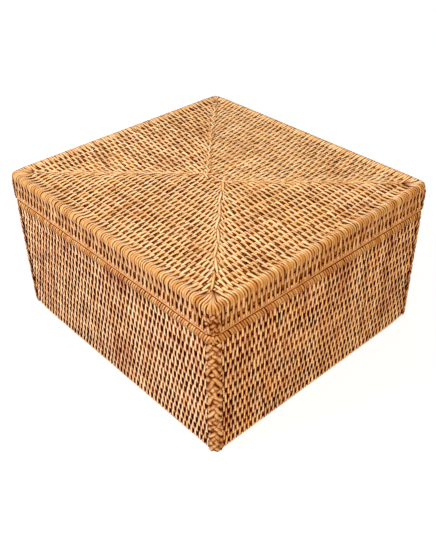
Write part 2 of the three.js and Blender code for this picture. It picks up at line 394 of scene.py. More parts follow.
def strip_tree():
    """Strips that run up a side, over its edge and on, and swing in and out past rods on the way."""
    t = Shape("woven strips", {
        "Strips": 10, "Rings": 20, "Pitch": STRIP_PITCH, "Width": STRIP_WIDTH, "Thickness": STRIP_THICK,
        "Half Length": 0.1, "Half Depth": 0.1, "Corner": 0.01, "Side Angle": 0.0,
        "Foot Height": 0.0, "Foot Radius": FOOT_RADIUS, "Rise": 0.1, "Turn Radius": 0.003, "Turn": QUARTER,
        "Run": 0.01, "Depth": 0.0, "Proud": 0.0, "Proud From": 1.0, "Rim Lean": 0.0, "Drop": 0.0,
        "Swing": SWING, "First Rod": 0.01, "Rod Pitch": 0.0097, "Rods": 2.0, "Lead": 0.005, "Leave": 0.006,
        "Plain": 0.93, "Widen": 0.1, "Taper": 0.0, "Counter": 0.0, "Run Counter": 0.0,
        "Run Weave": 0.0, "Run First": 0.009, "Run Pitch": TOP_PITCH, "Shade": 1.0,
        "Mitre": 0.0, "Feather": 0.012, "Slant": 0.7, "Gather": 0.0,
        "Corner Limit": 1.0, "Corner Start": 0.0,
        "Gold From": 9.0, "Gold To": 9.0, "Roll From": 9.0, "Gap Side": 1.0, "Run Side": 1.0,
        "Bow": 0.0, "Wander": WALL_WANDER, "Sway": 0.0006, "Tilt": 0.25, "Seed": 1,
    })
    mesh, strip, across, through, share = t.strands(t["Strips"], t["Rings"])

    # Lengths over which a strip passes from one state to the next
    splay_reach = 25.0 * MM
    splay_ease = 20.0 * MM
    corner_gap = 4.0 * MM
    lean_reach = 30.0 * MM
    rim_ease = 4.0 * MM
    end_ease = 5.0 * MM
    drop_reach = 8.0 * MM
    corner_ease = 8.0 * MM
    fold = 6.0 * MM
    gold_ease = 6.0 * MM
    gather_ease = 9.0 * MM

    # Where each strip starts out across the side
    start = (strip - (t["Strips"] - 1) * 0.5) * t["Pitch"] + t.chance(-0.3 * MM, 0.3 * MM, strip, 1)
    away = start.size()
    parity = 1.0 - (strip % 2.0) * 2.0
    straight = t["Half Length"] - t["Corner"]

    # Where it ends: at the corner's gathering point, on the mitre, or at the end of its run
    rest = t["Half Length"] - away
    gathered = t["Gather"] > rest
    ridge = (t["Half Length"] - t["Half Depth"]).most(0.0)
    splay = ((away - ridge) / splay_reach).within(0.0, 1.0) * ((rest - t["Gather"]) / splay_ease).ease()
    splay = splay * t["Slant"] * t["Mitre"]
    mitre = rest.least(t["Half Depth"]) + splay * t["Feather"] + t.chance(-0.6 * MM, 0.6 * MM, strip, 2)
    mitre = mitre.mix(t["Gather"] - t.chance(0.8 * MM, 4.5 * MM, strip, 3), gathered)
    bend = t["Turn Radius"] * t["Turn"]
    far = t["Rise"] + bend + t["Run"]
    last = far.mix(t["Rise"] + bend + mitre - t["Depth"] - t["Turn Radius"], t["Mitre"])

    # Where it begins: under the foot, or only at the rim where a corner plait covers the wall
    first = t["Foot Radius"] * -QUARTER
    under_plait = (away > t["Corner Limit"]) * (t["Corner Limit"] + corner_gap > away)
    begin = first.mix(t["Corner Start"], under_plait)
    s = (first + share * (far - first)).most(begin).least(last)

    # Its place across the side, which leans along the rim but not near one end, and round the corner
    trail = (t["Half Length"] - start * t["Rim Lean"].sign()) / lean_reach
    start = start - (s - t["Proud From"]).most(0.0) * t["Rim Lean"] * trail.ease()
    hand = start.sign()
    away = start.size()
    fan = ((away - straight) / t["Corner"]).within(0.0, QUARTER)
    in_fan = away > straight

    # The line of the outermost crests
    foot = (-s / t["Foot Radius"]).within(0.0, QUARTER)
    over = ((s - t["Rise"]) / t["Turn Radius"]).within(0.0, 10.0).least(t["Turn"])
    upright = s.most(0.0).least(t["Rise"])
    run = (s - t["Rise"] - bend).most(0.0)
    proud = ((s - t["Proud From"]) / rim_ease).ease() * t["Proud"]
    depth = t["Depth"] - proud + t["Foot Radius"] * (1.0 - foot.cos())
    depth = depth + t["Turn Radius"] * (1.0 - over.cos()) + run * over.sin()
    height = t["Foot Height"] - t["Foot Radius"] * foot.sin() + upright + t["Turn Radius"] * over.sin()
    height = height + run * over.cos()
    lean = over - foot

    # The feather splay towards the mitre
    slide = ((depth - mitre) / t["Feather"]).exp() * splay * t["Feather"] * -1.0
    centre = hand * (away.least(straight) + slide * (1.0 - gathered))
    reach = t["Corner"] - depth
    line_y = t["Corner"] - t["Half Depth"] - fan.cos() * reach
    line = t.vector(centre + hand * fan.sin() * reach, line_y, height)
    wander = t.wander(t.turned(line, t["Side Angle"]))

    # The swing past the rods, and which side of a rod each point under it lies on
    rise_turn = ((s - t["First Rod"] - wander) / t["Rod Pitch"]).within(0.0, 100.0).least(t["Rods"] - 1.0)
    run_turn = ((run - t["Run First"] - wander) / t["Run Pitch"]).most(0.0)
    rise_wave = parity * (rise_turn * math.pi).cos()
    run_wave = parity * (run_turn * math.pi).cos()
    rise_side = -parity * (rise_turn * math.pi).sin()
    run_side = -parity * (run_turn * math.pi).sin() * t["Run Side"]
    enter = ((s - t["First Rod"] + t["Lead"]) / t["Lead"]).ease()
    leave = ((s - t["First Rod"] - (t["Rods"] - 1.0) * t["Rod Pitch"]) / t["Leave"]).ease()
    on_run = (run / t["Run First"]).ease() * t["Run Weave"] * (1.0 - gathered)
    woven = enter * (1.0 - leave)
    wave = 1.0 - (1.0 - rise_wave) * woven - (1.0 - run_wave) * on_run
    ending = ((s - last) / end_ease + 1.0).ease() * t["Mitre"]
    wave = wave.mix(0.2, ending * (1.0 - gathered))
    dip = (1.0 - wave) * 0.5
    inward = t["Swing"] * 2.0 * dip + t["Drop"] * (run / drop_reach).ease()
    inward = inward - through * t["Thickness"] * 0.5 + gathered * t.chance(0.0, 0.5 * MM, strip, 7)

    # Its width: wider over a rod, tapered past it, pinched in a corner, and never quite even
    depth_here = depth + inward * lean.cos()
    height_here = height - inward * lean.sin()
    pinch = in_fan * (depth_here / t["Corner"]).within(0.0, 1.0) * 0.5 + ending * 0.4
    in_weave = woven + on_run
    narrow = t["Plain"] + in_weave * (1.0 - t["Plain"] + (1.0 - dip) * t["Widen"]) - pinch - gathered * 0.1
    side = rise_side * woven + run_side * on_run
    narrow = narrow * (1.0 + side * t["Taper"])
    loose = t.noise(t.vector(centre * 10.0, s * 65.0, t["Seed"] * 3.1), 1.0, 1.0)
    loose = ((loose - 0.5) * 2.2 + 0.5).within(0.0, 1.0)
    half = t["Width"] * 0.5 * t.chance(0.9, 1.06, strip, 4) * (1.12 - loose * 0.24) * narrow

    # It tilts and sways a little, and steps aside while it swings in
    lane = t.vector(strip * 7.31, s * 60.0, t["Seed"] * 3.7)
    tilt = (t.noise(lane, 0.7, 1.0) - 0.5) * t["Tilt"] * 4.0
    depth_here = depth_here + across * half * tilt * lean.cos()
    height_here = (height_here - across * half * tilt * lean.sin()).most(0.0)
    sway = (t.noise(lane, 1.0, 1.0) - 0.5) * t["Sway"] * 4.0
    counter = t["Counter"].mix(t["Run Counter"], (run / t["Run First"]).ease())
    clear = ((straight - away) / corner_ease).ease()
    sideways = across * half + sway + inward * counter * t["Gap Side"] * clear

    # The finished place of each point: on its side, round the corner, or drawn to the gathering point
    reach = t["Corner"] - depth_here.mix(depth_here.least(fold), gathered)
    x = centre + hand * fan.sin() * reach
    y = t["Corner"] - t["Half Depth"] - fan.cos() * reach
    pull = ((depth_here - fold) / (t["Gather"] - fold)).within(0.0, 1.0) * gathered
    aside = hand * (t["Half Length"] - t["Gather"]) - x
    ahead = t["Gather"] - t["Half Depth"] - y
    way = (aside * aside + ahead * ahead) ** 0.5
    turned = (pull * 4.0).within(0.0, 1.0)
    x = x + aside * pull + sideways * fan.cos().mix(ahead / way, turned)
    y = y + ahead * pull + sideways * (hand * fan.sin()).mix(-aside / way, turned)

    gold_end = 1.0 - ((s - t["Gold To"]) / gold_ease).ease()
    gathering = ((s - last) / gather_ease + 1.0).ease() * gathered
    mesh = t.keep_all(
        mesh,
        tone=t.chance(0.0, 1.0, strip, 5),
        run=s + t.chance(0.0, 5.0, strip, 6),
        lane=across * t["Gap Side"],
        under=dip,
        side=side,
        hollow=(0.55 + loose * 0.7) * t["Shade"],
        gold=((s - t["Gold From"]) / rim_ease).ease() * gold_end,
        rolled=((s - t["Roll From"]) / rim_ease).ease() * gold_end,
        # dip: painted shade at the edges of the gathered strips towards their ends
        dip=gathering * across.size() ** 1.5,
    )
    t.close(t.place(mesh, t.bowed(t.turned(t.vector(x, y, height_here), t["Side Angle"]))))
    return t


def hoop_tree():
    """Rods bent round the box, one above another or one inside another."""
    t = Shape("bent rods", {
        "Rods": 1, "Half Length": 0.1, "Half Depth": 0.1, "Height": 0.0, "Rise": 0.0, "Inset": 0.0,
        "Step In": 0.0, "Corner": 0.005, "Radius": 0.002, "Flat": 1.0, "Bow": 0.0, "Wander": 0.0,
    })
    longest_gap = 8.0 * MM
    index = t.add("GeometryNodeInputIndex")
    place = t.add("GeometryNodeInputPosition")
    inset = t["Inset"] + index * t["Step In"]
    level = t.vector(0.0, 0.0, t["Height"] + index * t["Rise"])
    points = t.add("GeometryNodePoints", {"Count": t["Rods"], "Position": level})
    outline = t.add("GeometryNodeCurvePrimitiveQuadrilateral", {"Width": 2.0, "Height": 2.0})
    size = t.vector(t["Half Length"] - inset, t["Half Depth"] - inset, 1.0)
    loops = t.add("GeometryNodeInstanceOnPoints", {"Points": points, "Instance": outline, "Scale": size})
    loops = t.add("GeometryNodeRealizeInstances", {"Geometry": loops})
    rounding = {"Curve": loops, "Count": 6, "Radius": t["Corner"]}
    loops = t.add("GeometryNodeFilletCurve", rounding, {"mode": "POLY"})

    # Only the straight runs are cut up, so that they can stray
    at_next = {"data_type": "FLOAT_VECTOR", "domain": "POINT"}
    following = t.add("GeometryNodeFieldAtIndex", {"Value": place, "Index": index + 1.0}, at_next)
    gap = t.add("ShaderNodeVectorMath", {0: place, 1: following}, {"operation": "DISTANCE"}, "Value")
    loops = t.add("GeometryNodeSubdivideCurve", {"Curve": loops, "Cuts": (gap > longest_gap) * 26.0})
    stray = t.vector(0.0, 0.0, t.wander(place))
    loops = t.add("GeometryNodeSetPosition", {"Geometry": loops, "Offset": stray})
    section = {"Resolution": 8, "Radius": t["Radius"]}
    ring = t.add("GeometryNodeCurvePrimitiveCircle", section, output="Curve")
    ring = t.add("GeometryNodeTransform", {"Geometry": ring, "Scale": t.vector(t["Flat"], 1.0, 1.0)})
    loops = t.add("GeometryNodeSetCurveNormal", {"Curve": loops}, {"mode": "Z_UP"})
    mesh = t.add("GeometryNodeCurveToMesh", {"Curve": loops, "Profile Curve": ring})
    t.close(t.place(mesh, t.bowed(place)))
    return t


def lapped_tree():
    """Long leaves of cane that lie one on the tail of the next along a mitre."""
    t = Shape("lapped leaves", {
        "Leaves": 5, "Length": 0.04, "Step": 0.03, "Width": 0.0032, "Slew": 0.06, "Stray": 0.0004,
        "Thickness": STRIP_THICK, "Start X": 0.0, "Start Y": 0.0, "Height": 0.1, "Side Angle": 0.0,
        "Seed": 1,
    })
    rings = 16
    crown = 1.1 * MM
    sink = 0.9 * MM
    climb = 0.5 * MM
    snake = 0.35 * MM
    mesh, leaf, across, through, share = t.strands(t["Leaves"], rings)
    arch = (share * math.pi).sin()
    side = 1.0 - (leaf % 2.0) * 2.0
    drift = side * t["Width"] * 0.22 + t.chance(-1.0, 1.0, leaf, 1) * t["Stray"]
    slew = (share - 0.5) * t["Length"] * (t.chance(-0.05, 0.05, leaf, 3) - side * t["Slew"])
    sway = (share * 5.0 + t.chance(0.0, 6.0, leaf, 2)).sin() * snake
    forward = leaf * t["Step"] + share * t["Length"]
    bulge = 0.35 + 0.65 * arch ** 0.6
    lift = arch ** 0.7 * crown - sink + share * climb
    sideways = drift + slew + sway + across * t["Width"] * 0.5 * bulge
    height = t["Height"] + lift + through * t["Thickness"] * 0.5
    place = t.turned(t.vector(forward, sideways, height), t["Side Angle"])
    place = t.add("ShaderNodeVectorMath", {0: place, 1: t.vector(t["Start X"], t["Start Y"], 0.0)})
    mesh = t.keep_all(
        mesh,
        tone=t.chance(0.0, 1.0, leaf, 5),
        run=share * t["Length"] + leaf,
        lane=across,
        # dip: painted shade towards both ends of each leaf, where it sinks under the others
        dip=(1.0 - arch) ** 3.0 * 0.95,
    )
    t.close(t.place(mesh, place))
    return t


def plait_tree():
    """A flat plait laid over an upright corner, its strands zigzagging from one face to the other."""
    t = Shape("corner plait", {
        "Strands": 4, "Rings": 100, "Low": 0.0, "High": 0.1, "Period": 0.036, "Swing": 0.0072,
        "Lift": 0.0006, "Width": 0.0030, "Thickness": STRIP_THICK, "Half Length": 0.1, "Half Depth": 0.1,
        "Corner": BASE_CORNER, "Side Angle": 0.0, "Proud": 0.0, "Loose": 0.2, "Chevron": 0.0, "Bow": 0.0,
        "Seed": 1,
    })
    sharpness = 0.985
    mesh, strand, across, through, share = t.strands(t["Strands"], t["Rings"])
    rise = share * (t["High"] - t["Low"])
    wobble = t.noise(t.vector(strand * 3.7, rise * 90.0, t["Seed"] * 1.9), 1.0, 1.0) - 0.5
    phase = (rise / t["Period"] + strand / t["Strands"] + wobble * t["Loose"]) * (2 * math.pi)
    zigzag = (phase.sin() * sharpness).math("ARCSINE") / math.asin(sharpness)
    swing = zigzag * t["Swing"] * (1.0 + wobble * 0.5)
    heading = (phase.cos() * 4.0).within(-1.0, 1.0)

    # A strand goes over and under in turn, and here and there over one half and under the other
    in_turn = ((zigzag * t["Strands"] + t["Strands"] - 1.0) * QUARTER).sin()
    patch = t.noise(t.vector(rise * 70.0, t["Seed"] * 2.3, 0.0), 1.0, 1.0)
    chevron = ((patch - 0.5) * 9.0 + 0.5).within(0.0, 1.0) * t["Chevron"]
    over = -heading * in_turn.mix((zigzag * 4.0).within(-1.0, 1.0), chevron)

    # The section lies square to the strand: part of its width goes up, part of it sideways
    slope = heading * t["Swing"] * 4.0 / t["Period"]
    long = (1.0 + slope * slope) ** 0.5
    half = t["Width"] * 0.5 * t.chance(0.92, 1.06, strand, 1)
    side = swing + across * half / long
    height = t["Low"] + rise - across * half * slope / long
    angle = (side / t["Corner"]).within(-math.pi / 4, math.pi / 4)
    flat = side - angle * t["Corner"]
    out = t["Corner"] + t["Proud"] + over * t["Lift"] + through * t["Thickness"] * 0.5
    turn = angle + math.pi / 4
    x = t["Half Length"] - t["Corner"] + turn.cos() * out - turn.sin() * flat
    y = t["Half Depth"] - t["Corner"] + turn.sin() * out + turn.cos() * flat
    mesh = t.keep_all(
        mesh,
        tone=t.chance(0.0, 1.0, strand, 5),
        run=rise * 1.4 + strand,
        lane=across,
        # dip: painted shade where a strand goes under another
        dip=(0.5 - over * 0.5) ** 2.0 * 1.1,
    )
    t.close(t.place(mesh, t.bowed(t.turned(t.vector(x, y, height), t["Side Angle"]))))
    return t


class Finish(Tree):
    """A material of one surface shader."""

    def __init__(self, name):
        self.material = bpy.data.materials.new(name)
        self.material.use_nodes = True
        super().__init__(self.material.node_tree)
        self.surface = self.tree.nodes["Principled BSDF"]

    def set(self, **sockets):
        for name, value in sockets.items():
            self.link(value, self.surface.inputs[name.replace("_", " ")])

    def kept(self, name):
        settings = {"attribute_type": "GEOMETRY", "attribute_name": name}
        return self.add("ShaderNodeAttribute", {}, settings, "Fac")

    def blend(self, share, below, above):
        sockets = {"Factor": share, "A": below, "B": above}
        return self.add("ShaderNodeMix", sockets, {"data_type": "RGBA"}, "Result")

    def bump(self, height, strength, distance):
        return self.add("ShaderNodeBump", {"Height": height, "Strength": strength, "Distance": distance})


def colour(red, green, blue):
    """A colour given as it looks on a screen, 0 to 255."""
    def straight(value):
        value = value / 255
        return value / 12.92 if value <= 0.04045 else ((value + 0.055) / 1.055) ** 2.4
    return (straight(red), straight(green), straight(blue), 1.0)


# Painted highlight on the crests of the strips
CREST_SHEEN = colour(255, 242, 222)
ROLLED = colour(192, 159, 102)
GOLDEN = colour(241, 198, 156)
RIM_GOLDEN = colour(202, 168, 98)
WARM_SHINE = (1.0, 0.45, 0.12, 1.0)


def cane(name, pale, deep, red, shade, golden, patchy=1.0, sheen=0.3, reach=0.7, spread=1.8):
    """Split cane: strips of many tones, long grain, reddish patches, and shade where a strip goes under."""
    f = Finish(name)
    tone, run, lane, dip = (f.kept(title) for title in ("tone", "run", "lane", "dip"))
    under, side, gold, hollow = (f.kept(title) for title in ("under", "side", "gold", "hollow"))
    place = f.add("ShaderNodeTexCoord", output="Object")
    grain = f.noise(f.vector(lane * 2.2 + tone * 53.0, run * 45.0, tone * 31.0), 1.0, 3.0, 0.6)
    slow = f.noise(f.vector(tone * 71.0, run * 30.0, tone * 17.0), 1.0, 2.0)
    patch = ((f.noise(place, 24.0, 3.0, 0.6) - 0.5) / 0.16).ease() * patchy * (1.0 - gold * 0.6)
    share = (tone * 0.5 + slow * 0.9 + grain * 0.5 - 0.5).within(0.0, 1.0)
    base = f.blend(share, pale, deep)
    golden = f.blend(f.kept("rolled"), golden, ROLLED)
    base = f.blend(gold * 0.75, base, f.blend(share * 0.9, golden, red))
    base = f.blend((patch * (0.2 + tone * slow * 0.9)).within(0.0, 0.7), base, red)

    # Painted highlight, pale along the crests; a little paler where two strips cross; and painted shade at
    # the edges, except where two strips cross
    out = lane.size()
    crest_sheen = (1.0 - under * 2.5).within(0.0, 1.0) * (0.8 - out).within(0.0, 1.0) * (1.0 - gold)
    base = f.blend(crest_sheen * sheen, base, CREST_SHEEN)
    crossing = 1.0 - (under * 2.0 - 1.0).size()
    base = f.blend(crossing * 0.22 * (1.0 - gold), base, pale)
    base = f.blend(((out - 0.25) / 0.75).ease() * (0.88 - crossing * 0.5), base, red)

    # A wedge of shade where it passes under a rod: wide and sharp on one side, a thin tail on the other
    level = side.math("ARCTAN2", under * 2.0 - 1.0) / math.pi
    tail = ((level + 0.7) / (reach + gold * (0.7 - reach))).within(0.0, 1.0)
    wide = tail * (spread + gold * (1.8 - spread))
    wedge = ((lane * 0.5 - 0.7 + wide) / 0.4).ease() * ((0.54 - level) / 0.07).ease()
    depth = wedge * (0.35 + tail ** 3.0 * 0.7) * hollow * (1.0 - gold * 0.42)
    hole = (depth + dip).within(0.0, 1.0)
    base = f.blend((hole * 1.5).within(0.0, 0.92), base, red)
    base = f.blend(hole * hole, base, shade)
    height = grain * 0.5 + (1.0 - out * out) * 0.9
    f.set(Base_Color=base, Roughness=(0.5 + (grain - 0.5) * 0.25).within(0.2, 0.9),
          Normal=f.bump(height, 0.6, 0.5 * MM), Specular_IOR_Level=0.2, Specular_Tint=WARM_SHINE)
    return f.material


def rod_finish(name, pale, deep, shine=0.05):
    """Rattan rod with fine grain along it. Rods inside the weave get very dark colours, partly as painted
    shade.
    """
    f = Finish(name)
    place = f.add("ShaderNodeTexCoord", output="Object")
    grain = f.noise(place, 160.0, 3.0, 0.6)
    slow = f.noise(place, 26.0, 2.0)
    base = f.blend((grain * 0.6 + slow * 0.7 - 0.2).within(0.0, 1.0), pale, deep)
    f.set(Base_Color=base, Roughness=0.6 + (grain - 0.5) * 0.3, Normal=f.bump(grain, 0.3, 0.2 * MM),
          Specular_IOR_Level=shine, Specular_Tint=WARM_SHINE)
    return f.material


CANE = cane("woven cane", colour(255, 225, 185), colour(216, 145, 60), colour(146, 46, 0),
            colour(60, 5, 0), RIM_GOLDEN)
TOP_CANE = cane("lid cane", colour(240, 212, 175), colour(212, 161, 78), colour(152, 76, 0),
                colour(62, 11, 0), GOLDEN, patchy=0.6, sheen=0.08, reach=1.2, spread=1.55)
# Lining cane: deeper and more orange than the outer cane, partly its own colour and partly painted shade,
# so that what shows through the gaps looks like warm shade
LINING_CANE = cane("lining cane", colour(238, 170, 96), colour(200, 120, 52), colour(140, 56, 0),
                   colour(66, 12, 0), GOLDEN)
PLAIT_CANE = cane("plaited cane", colour(230, 190, 140), colour(188, 129, 68), colour(140, 64, 6),
                  colour(68, 18, 0), GOLDEN, patchy=0.7, sheen=0.15)
BINDING = rod_finish("pale binding", colour(206, 156, 106), colour(170, 114, 70), 0.2)
# Rods inside the weave: dark brown rattan, darkened further as painted shade so that the holes in the weave
# read dark; the lid's rods less so
RODS = rod_finish("rattan rod", colour(70, 14, 0), colour(44, 7, 0))
TOP_RODS = rod_finish("lid rod", colour(122, 54, 6), colour(78, 30, 0))
# A dark rod that is painted shadow: the dark line under the lid's edge
SEAM_SHADOW = rod_finish("seam rod", colour(112, 52, 14), colour(78, 30, 4))
EDGE_RODS = rod_finish("edge rod", colour(150, 88, 34), colour(112, 60, 20))

strips = strip_tree()
hoops = hoop_tree()
leaves = lapped_tree()
plaits = plait_tree()


def settle(piece, body, slot, *nodes):
    """The piece moves with a body and stands for its solids, which are hidden."""
    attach(piece, body)
    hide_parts(*nodes)


def spans(side, part):
    """Half length and half depth of a side of a part, seen from outside."""
    long, short = OUTLINES[part][:2]
    return (long, short) if side % 2 == 0 else (short, long)


def weave(name, finish, part, side, pitch, *nodes, **values):
    """Strips over one side of a part, to the middle of its rounded corners, at nearly the given pitch."""
    length, depth = spans(side, part)
    corner = OUTLINES[part][2]
    half = length - corner + corner * math.pi / 4
    count = 2 * round(half / pitch)
    piece = strips.piece(name, finish, Strips=count, Pitch=2 * half / count, Half_Length=length,
                         Half_Depth=depth, Corner=corner, Side_Angle=side * QUARTER, **values)
    settle(piece, BODIES[part], "woven_cane", *nodes)


def hoop(name, finish, part, slot, inset, *nodes, **values):
    """Rods bent round a part, set in from its outside."""
    length, depth, corner = OUTLINES[part]
    sizes = {"Half_Length": length, "Half_Depth": depth, "Inset": inset, "Corner": corner - inset}
    sizes.update(values)
    settle(hoops.piece(name, finish, **sizes), BODIES[part], slot, *nodes)


def sheet(name, part, inset, low, high, half_thick, **values):
    """A thin upright sheet behind a weave, so that no light comes through and the gaps show dark as painted
    shade: one tall, flat rod.
    """
    half_tall = (high - low) / 2
    hoop(name, RODS, part, "woven_cane", inset, Height=low + half_tall, Radius=half_tall,
         Flat=half_thick / half_tall, **values)


# Base: woven walls, whose strips turn under at the foot and over the rim at the top, and their linings
wall_foot = FOOT_RADIUS + HALF_THICK
rim_start = RIM_LOW - wall_foot - 1.0 * MM
lining_foot = 0.8 * MM
for side, name in enumerate(SIDES):
    weave(f"woven_wall_{name}", CANE, "base", side, WALL_PITCH, f"wall_{name}", f"rim_wrap_{name}",
          Rings=118, Width=WALL_WIDTHS[side], Foot_Height=wall_foot, Foot_Radius=FOOT_RADIUS,
          Rise=RIM_TOP - HALF_THICK - RIM_RADIUS - wall_foot, Turn_Radius=RIM_RADIUS, Turn=math.pi,
          Run=6.0 * MM, Depth=HALF_THICK, Proud=1.0 * MM, Proud_From=rim_start,
          First_Rod=ROD_FIRST - wall_foot, Rod_Pitch=ROD_PITCH, Rods=float(ROD_COUNT),
          Lead=4.5 * MM, Leave=8.5 * MM, Corner_Start=rim_start, Gold_From=rim_start - 1.0 * MM,
          Corner_Limit=spans(side, "base")[0] - BASE_CORNER,
          Rim_Lean=0.45 * GAP_SIDE[side], Gap_Side=GAP_SIDE[side], Plain=WALL_PLAIN[side],
          Widen=WALL_WIDEN[side], Taper=0.22, Counter=WALL_COUNTER[side], Shade=WALL_SHADE[side],
          Bow=BASE_BOW, Seed=10 + side)
    weave(f"lining_wall_{name}", LINING_CANE, "base", side, LINING_PITCH, Rings=58, Width=LINING_WIDTH,
          Foot_Height=lining_foot, Foot_Radius=SHARP, Rise=RIM_LOW - lining_foot, Turn_Radius=1.0 * MM,
          Turn=0.0, Run=0.5 * MM, Depth=5.9 * MM, Swing=-SWING, First_Rod=ROD_FIRST - lining_foot,
          Rod_Pitch=ROD_PITCH, Rods=float(ROD_COUNT), Lead=3.0 * MM, Bow=BASE_BOW, Seed=14 + side)

# Base: its rods, and the sheet between the weave and its lining; the foot rod and the sheet are dark,
# painted shade
hoop("wall_rods", RODS, "base", "rattan_rod", ROD_DEPTH,
     *(f"wall_rod_{number:02d}" for number in range(1, ROD_COUNT + 1)),
     Rods=ROD_COUNT, Height=ROD_FIRST, Rise=ROD_PITCH, Radius=ROD_HALF_TALL,
     Flat=ROD_HALF_DEEP / ROD_HALF_TALL, Bow=BASE_BOW, Wander=WALL_WANDER)
# A dark flat rod low behind the weave, painted shade, so that the lowest gaps show dark instead of the
# floor
hoop("foot_shade_rod", RODS, "base", "rattan_rod", 3.4 * MM, Height=1.6 * MM, Radius=0.7 * MM, Flat=3.6,
     Bow=BASE_BOW)
hoop("rim_rod", RODS, "base", "rattan_rod", 2.7 * MM, "rim_hoop", Height=RIM_TOP - 3.7 * MM,
     Radius=2.6 * MM)
sheet("wall_sheet", "base", 3.1 * MM, 1.6 * MM, RIM_TOP - 4.0 * MM, 0.3 * MM, Bow=BASE_BOW)

# Base: a plain woven floor that reaches the walls, with straight rods across and a plain layer below
floor_turn = 1.0 * MM
floor_rod_count = 29
sheet_turn = 0.4 * MM
weave("woven_floor", CANE, "floor", 0, INNER_PITCH, "floor_panel", Rings=124, Width=INNER_WIDTH,
      Foot_Radius=SHARP, Foot_Height=FLOOR_TOP - HALF_THICK - floor_turn, Rise=0.0, Turn_Radius=floor_turn,
      Run=2 * (FLOOR_Y - floor_turn), First_Rod=NO_ROD, Run_Weave=1.0,
      Run_First=FLOOR_Y - floor_turn - (floor_rod_count - 1) / 2 * TOP_PITCH, Run_Pitch=TOP_PITCH,
      Bow=BASE_BOW, Wander=0.0, Seed=90)
floor_rods = strips.piece(
    "floor_rods", RODS, Strips=floor_rod_count, Rings=6, Pitch=TOP_PITCH, Width=2 * ROD_HALF_TALL,
    Thickness=2 * ROD_HALF_DEEP, Half_Length=FLOOR_Y, Half_Depth=FLOOR_X, Corner=SHARP, Side_Angle=QUARTER,
    Foot_Radius=SHARP, Foot_Height=FLOOR_TOP - ROD_DEPTH - SHARP, Rise=0.0, Turn_Radius=SHARP,
    Run=2 * (FLOOR_X - SHARP), First_Rod=NO_ROD, Bow=BASE_BOW, Wander=0.0, Sway=0.0, Tilt=0.0, Seed=91)
settle(floor_rods, "base", "rattan_rod")
weave("floor_sheet", CANE, "floor", 0, INNER_PITCH, Rings=8, Width=6.0 * MM, Foot_Radius=SHARP,
      Foot_Height=0.8 * MM, Rise=0.0, Turn_Radius=sheet_turn, Run=2 * (FLOOR_Y - sheet_turn),
      First_Rod=NO_ROD, Bow=BASE_BOW, Wander=0.0, Sway=0.0, Seed=92)

# Base: the thin collar that stands up inside the lid, with its lining and rods
COLLAR_THICK = 0.6 * MM
COLLAR_SWING = 0.5 * MM
COLLAR_RODS = 4
COLLAR_FIRST = 6.0 * MM
collar_turn = 0.9 * MM
collar_foot = COLLAR_LOW + 0.8 * MM
for side, name in enumerate(SIDES):
    weave(f"woven_collar_{name}", CANE, "collar", side, INNER_PITCH, f"collar_{name}", Rings=44,
          Width=INNER_WIDTH, Plain=1.04, Thickness=COLLAR_THICK, Foot_Height=collar_foot,
          Foot_Radius=0.5 * MM, Rise=COLLAR_TOP - COLLAR_THICK / 2 - collar_turn - collar_foot,
          Turn_Radius=collar_turn, Turn=math.pi, Run=2.0 * MM, Depth=COLLAR_THICK / 2, Swing=COLLAR_SWING,
          First_Rod=COLLAR_FIRST, Rod_Pitch=ROD_PITCH, Rods=float(COLLAR_RODS), Wander=0.0, Seed=50 + side)
    weave(f"lining_collar_{name}", LINING_CANE, "collar", side, LINING_PITCH, Rings=36, Width=5.4 * MM,
          Thickness=0.4 * MM, Foot_Height=collar_foot, Foot_Radius=SHARP,
          Rise=COLLAR_TOP - 3.0 * MM - collar_foot, Turn_Radius=1.0 * MM, Turn=0.0, Run=0.5 * MM,
          Depth=2.35 * MM, Swing=-0.3 * MM, First_Rod=COLLAR_FIRST, Rod_Pitch=ROD_PITCH,
          Rods=float(COLLAR_RODS), Lead=3.0 * MM, Wander=0.0, Seed=54 + side)
hoop("collar_rods", RODS, "collar", "rattan_rod", COLLAR_THICK / 2 + COLLAR_SWING, Rods=COLLAR_RODS,
     Height=collar_foot + COLLAR_FIRST, Rise=ROD_PITCH, Radius=ROD_HALF_TALL, Flat=0.2)

# Base: plaits over the upright corners
for corner, name in enumerate(CORNERS):
    length, depth = spans(corner + 1, "base")
    plait = plaits.piece(
        f"plait_{name}", PLAIT_CANE, Strands=5, Rings=140, Period=46.0 * MM, Swing=6.3 * MM, Width=3.9 * MM,
        Loose=0.3, Chevron=1.0, Low=1.4 * MM, High=RIM_LOW + 0.5 * MM, Half_Length=length, Half_Depth=depth,
        Side_Angle=(corner - 1) * QUARTER, Proud=0.8 * MM, Bow=BASE_BOW, Seed=40 + corner)
    settle(plait, "base", "braided_cane", f"corner_braid_{name}")

